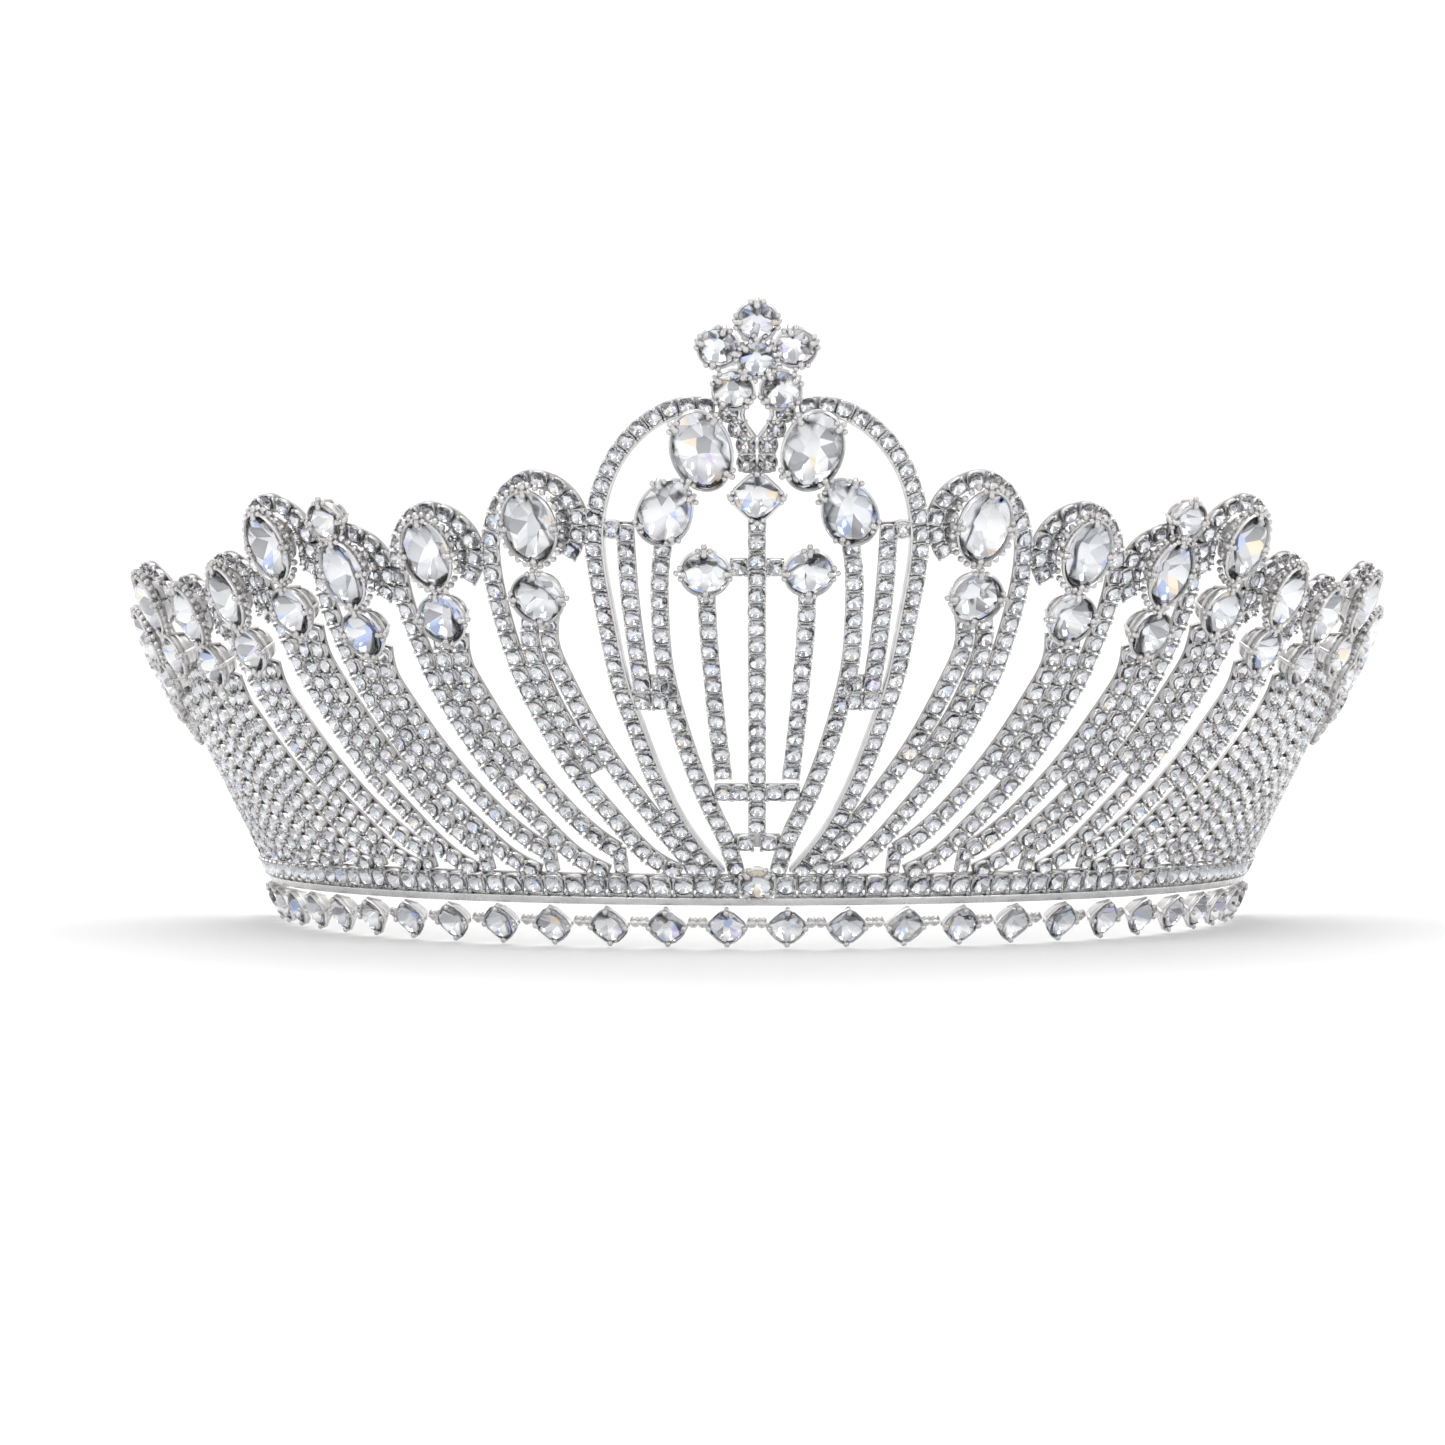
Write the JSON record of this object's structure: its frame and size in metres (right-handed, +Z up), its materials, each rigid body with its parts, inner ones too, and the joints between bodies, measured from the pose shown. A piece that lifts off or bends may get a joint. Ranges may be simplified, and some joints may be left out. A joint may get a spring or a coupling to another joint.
{
  "type": "bridal tiara",
  "caption": "Open-backed bridal tiara: a leaning half ring of cup chain strands and claw-set clear stones with a tall arched crest and a flower on top, pinned on by small end eyelets.",
  "frame": {"origin": "under the middle of the whole tiara's box, on the surface that it stands on", "axes": "+Z up, front of the head towards -Y, +X towards the wearer's left"},
  "size_m": [0.1824, 0.116, 0.0806],
  "materials": {
    "plated_metal": "polished silver-tone plating",
    "crystal": "faceted, foil-backed clear glass"
  },
  "bodies": {
    "root": {"arch_strand_left": "plated_metal", "arch_strand_right": "plated_metal", "band_centre_setting": "plated_metal", "band_centre_stone": "crystal", "band_chain": "plated_metal", "base_links": "plated_metal", "base_rail": "plated_metal", "base_settings": "plated_metal", "base_stones": "crystal", "crest_centre_strand": "plated_metal", "crest_inner_strands": "plated_metal", "crest_link_settings": "plated_metal", "crest_link_stones": "crystal", "crest_oval_settings": "plated_metal", "crest_oval_stones": "crystal", "crest_pear_settings": "plated_metal", "crest_pear_stones": "crystal", "crest_pear_strands": "plated_metal", "crest_short_strands": "plated_metal", "crest_square_setting": "plated_metal", "crest_square_stone": "crystal", "crest_ties": "plated_metal", "end_eyelets": "plated_metal", "flower_settings": "plated_metal", "flower_stones": "crystal", "foot_posts": "plated_metal", "motif_10_inner_strands": "plated_metal", "motif_10_left_outer_strand": "plated_metal", "motif_10_right_outer_strand": "plated_metal", "motif_1_inner_strands": "plated_metal", "motif_1_left_outer_strand": "plated_metal", "motif_1_right_outer_strand": "plated_metal", "motif_2_inner_strands": "plated_metal", "motif_2_left_outer_strand": "plated_metal", "motif_2_right_outer_strand": "plated_metal", "motif_3_inner_strands": "plated_metal", "motif_3_left_outer_strand": "plated_metal", "motif_3_right_outer_strand": "plated_metal", "motif_4_inner_strands": "plated_metal", "motif_4_left_outer_strand": "plated_metal", "motif_4_right_outer_strand": "plated_metal", "motif_5_inner_strands": "plated_metal", "motif_5_left_outer_strand": "plated_metal", "motif_5_right_outer_strand": "plated_metal", "motif_6_inner_strands": "plated_metal", "motif_6_left_outer_strand": "plated_metal", "motif_6_right_outer_strand": "plated_metal", "motif_7_inner_strands": "plated_metal", "motif_7_left_outer_strand": "plated_metal", "motif_7_right_outer_strand": "plated_metal", "motif_8_inner_strands": "plated_metal", "motif_8_left_outer_strand": "plated_metal", "motif_8_right_outer_strand": "plated_metal", "motif_9_inner_strands": "plated_metal", "motif_9_left_outer_strand": "plated_metal", "motif_9_right_outer_strand": "plated_metal", "round_settings": "plated_metal", "round_stones": "crystal", "side_oval_settings": "plated_metal", "side_oval_stones": "crystal"}
  },
  "joints": []
}
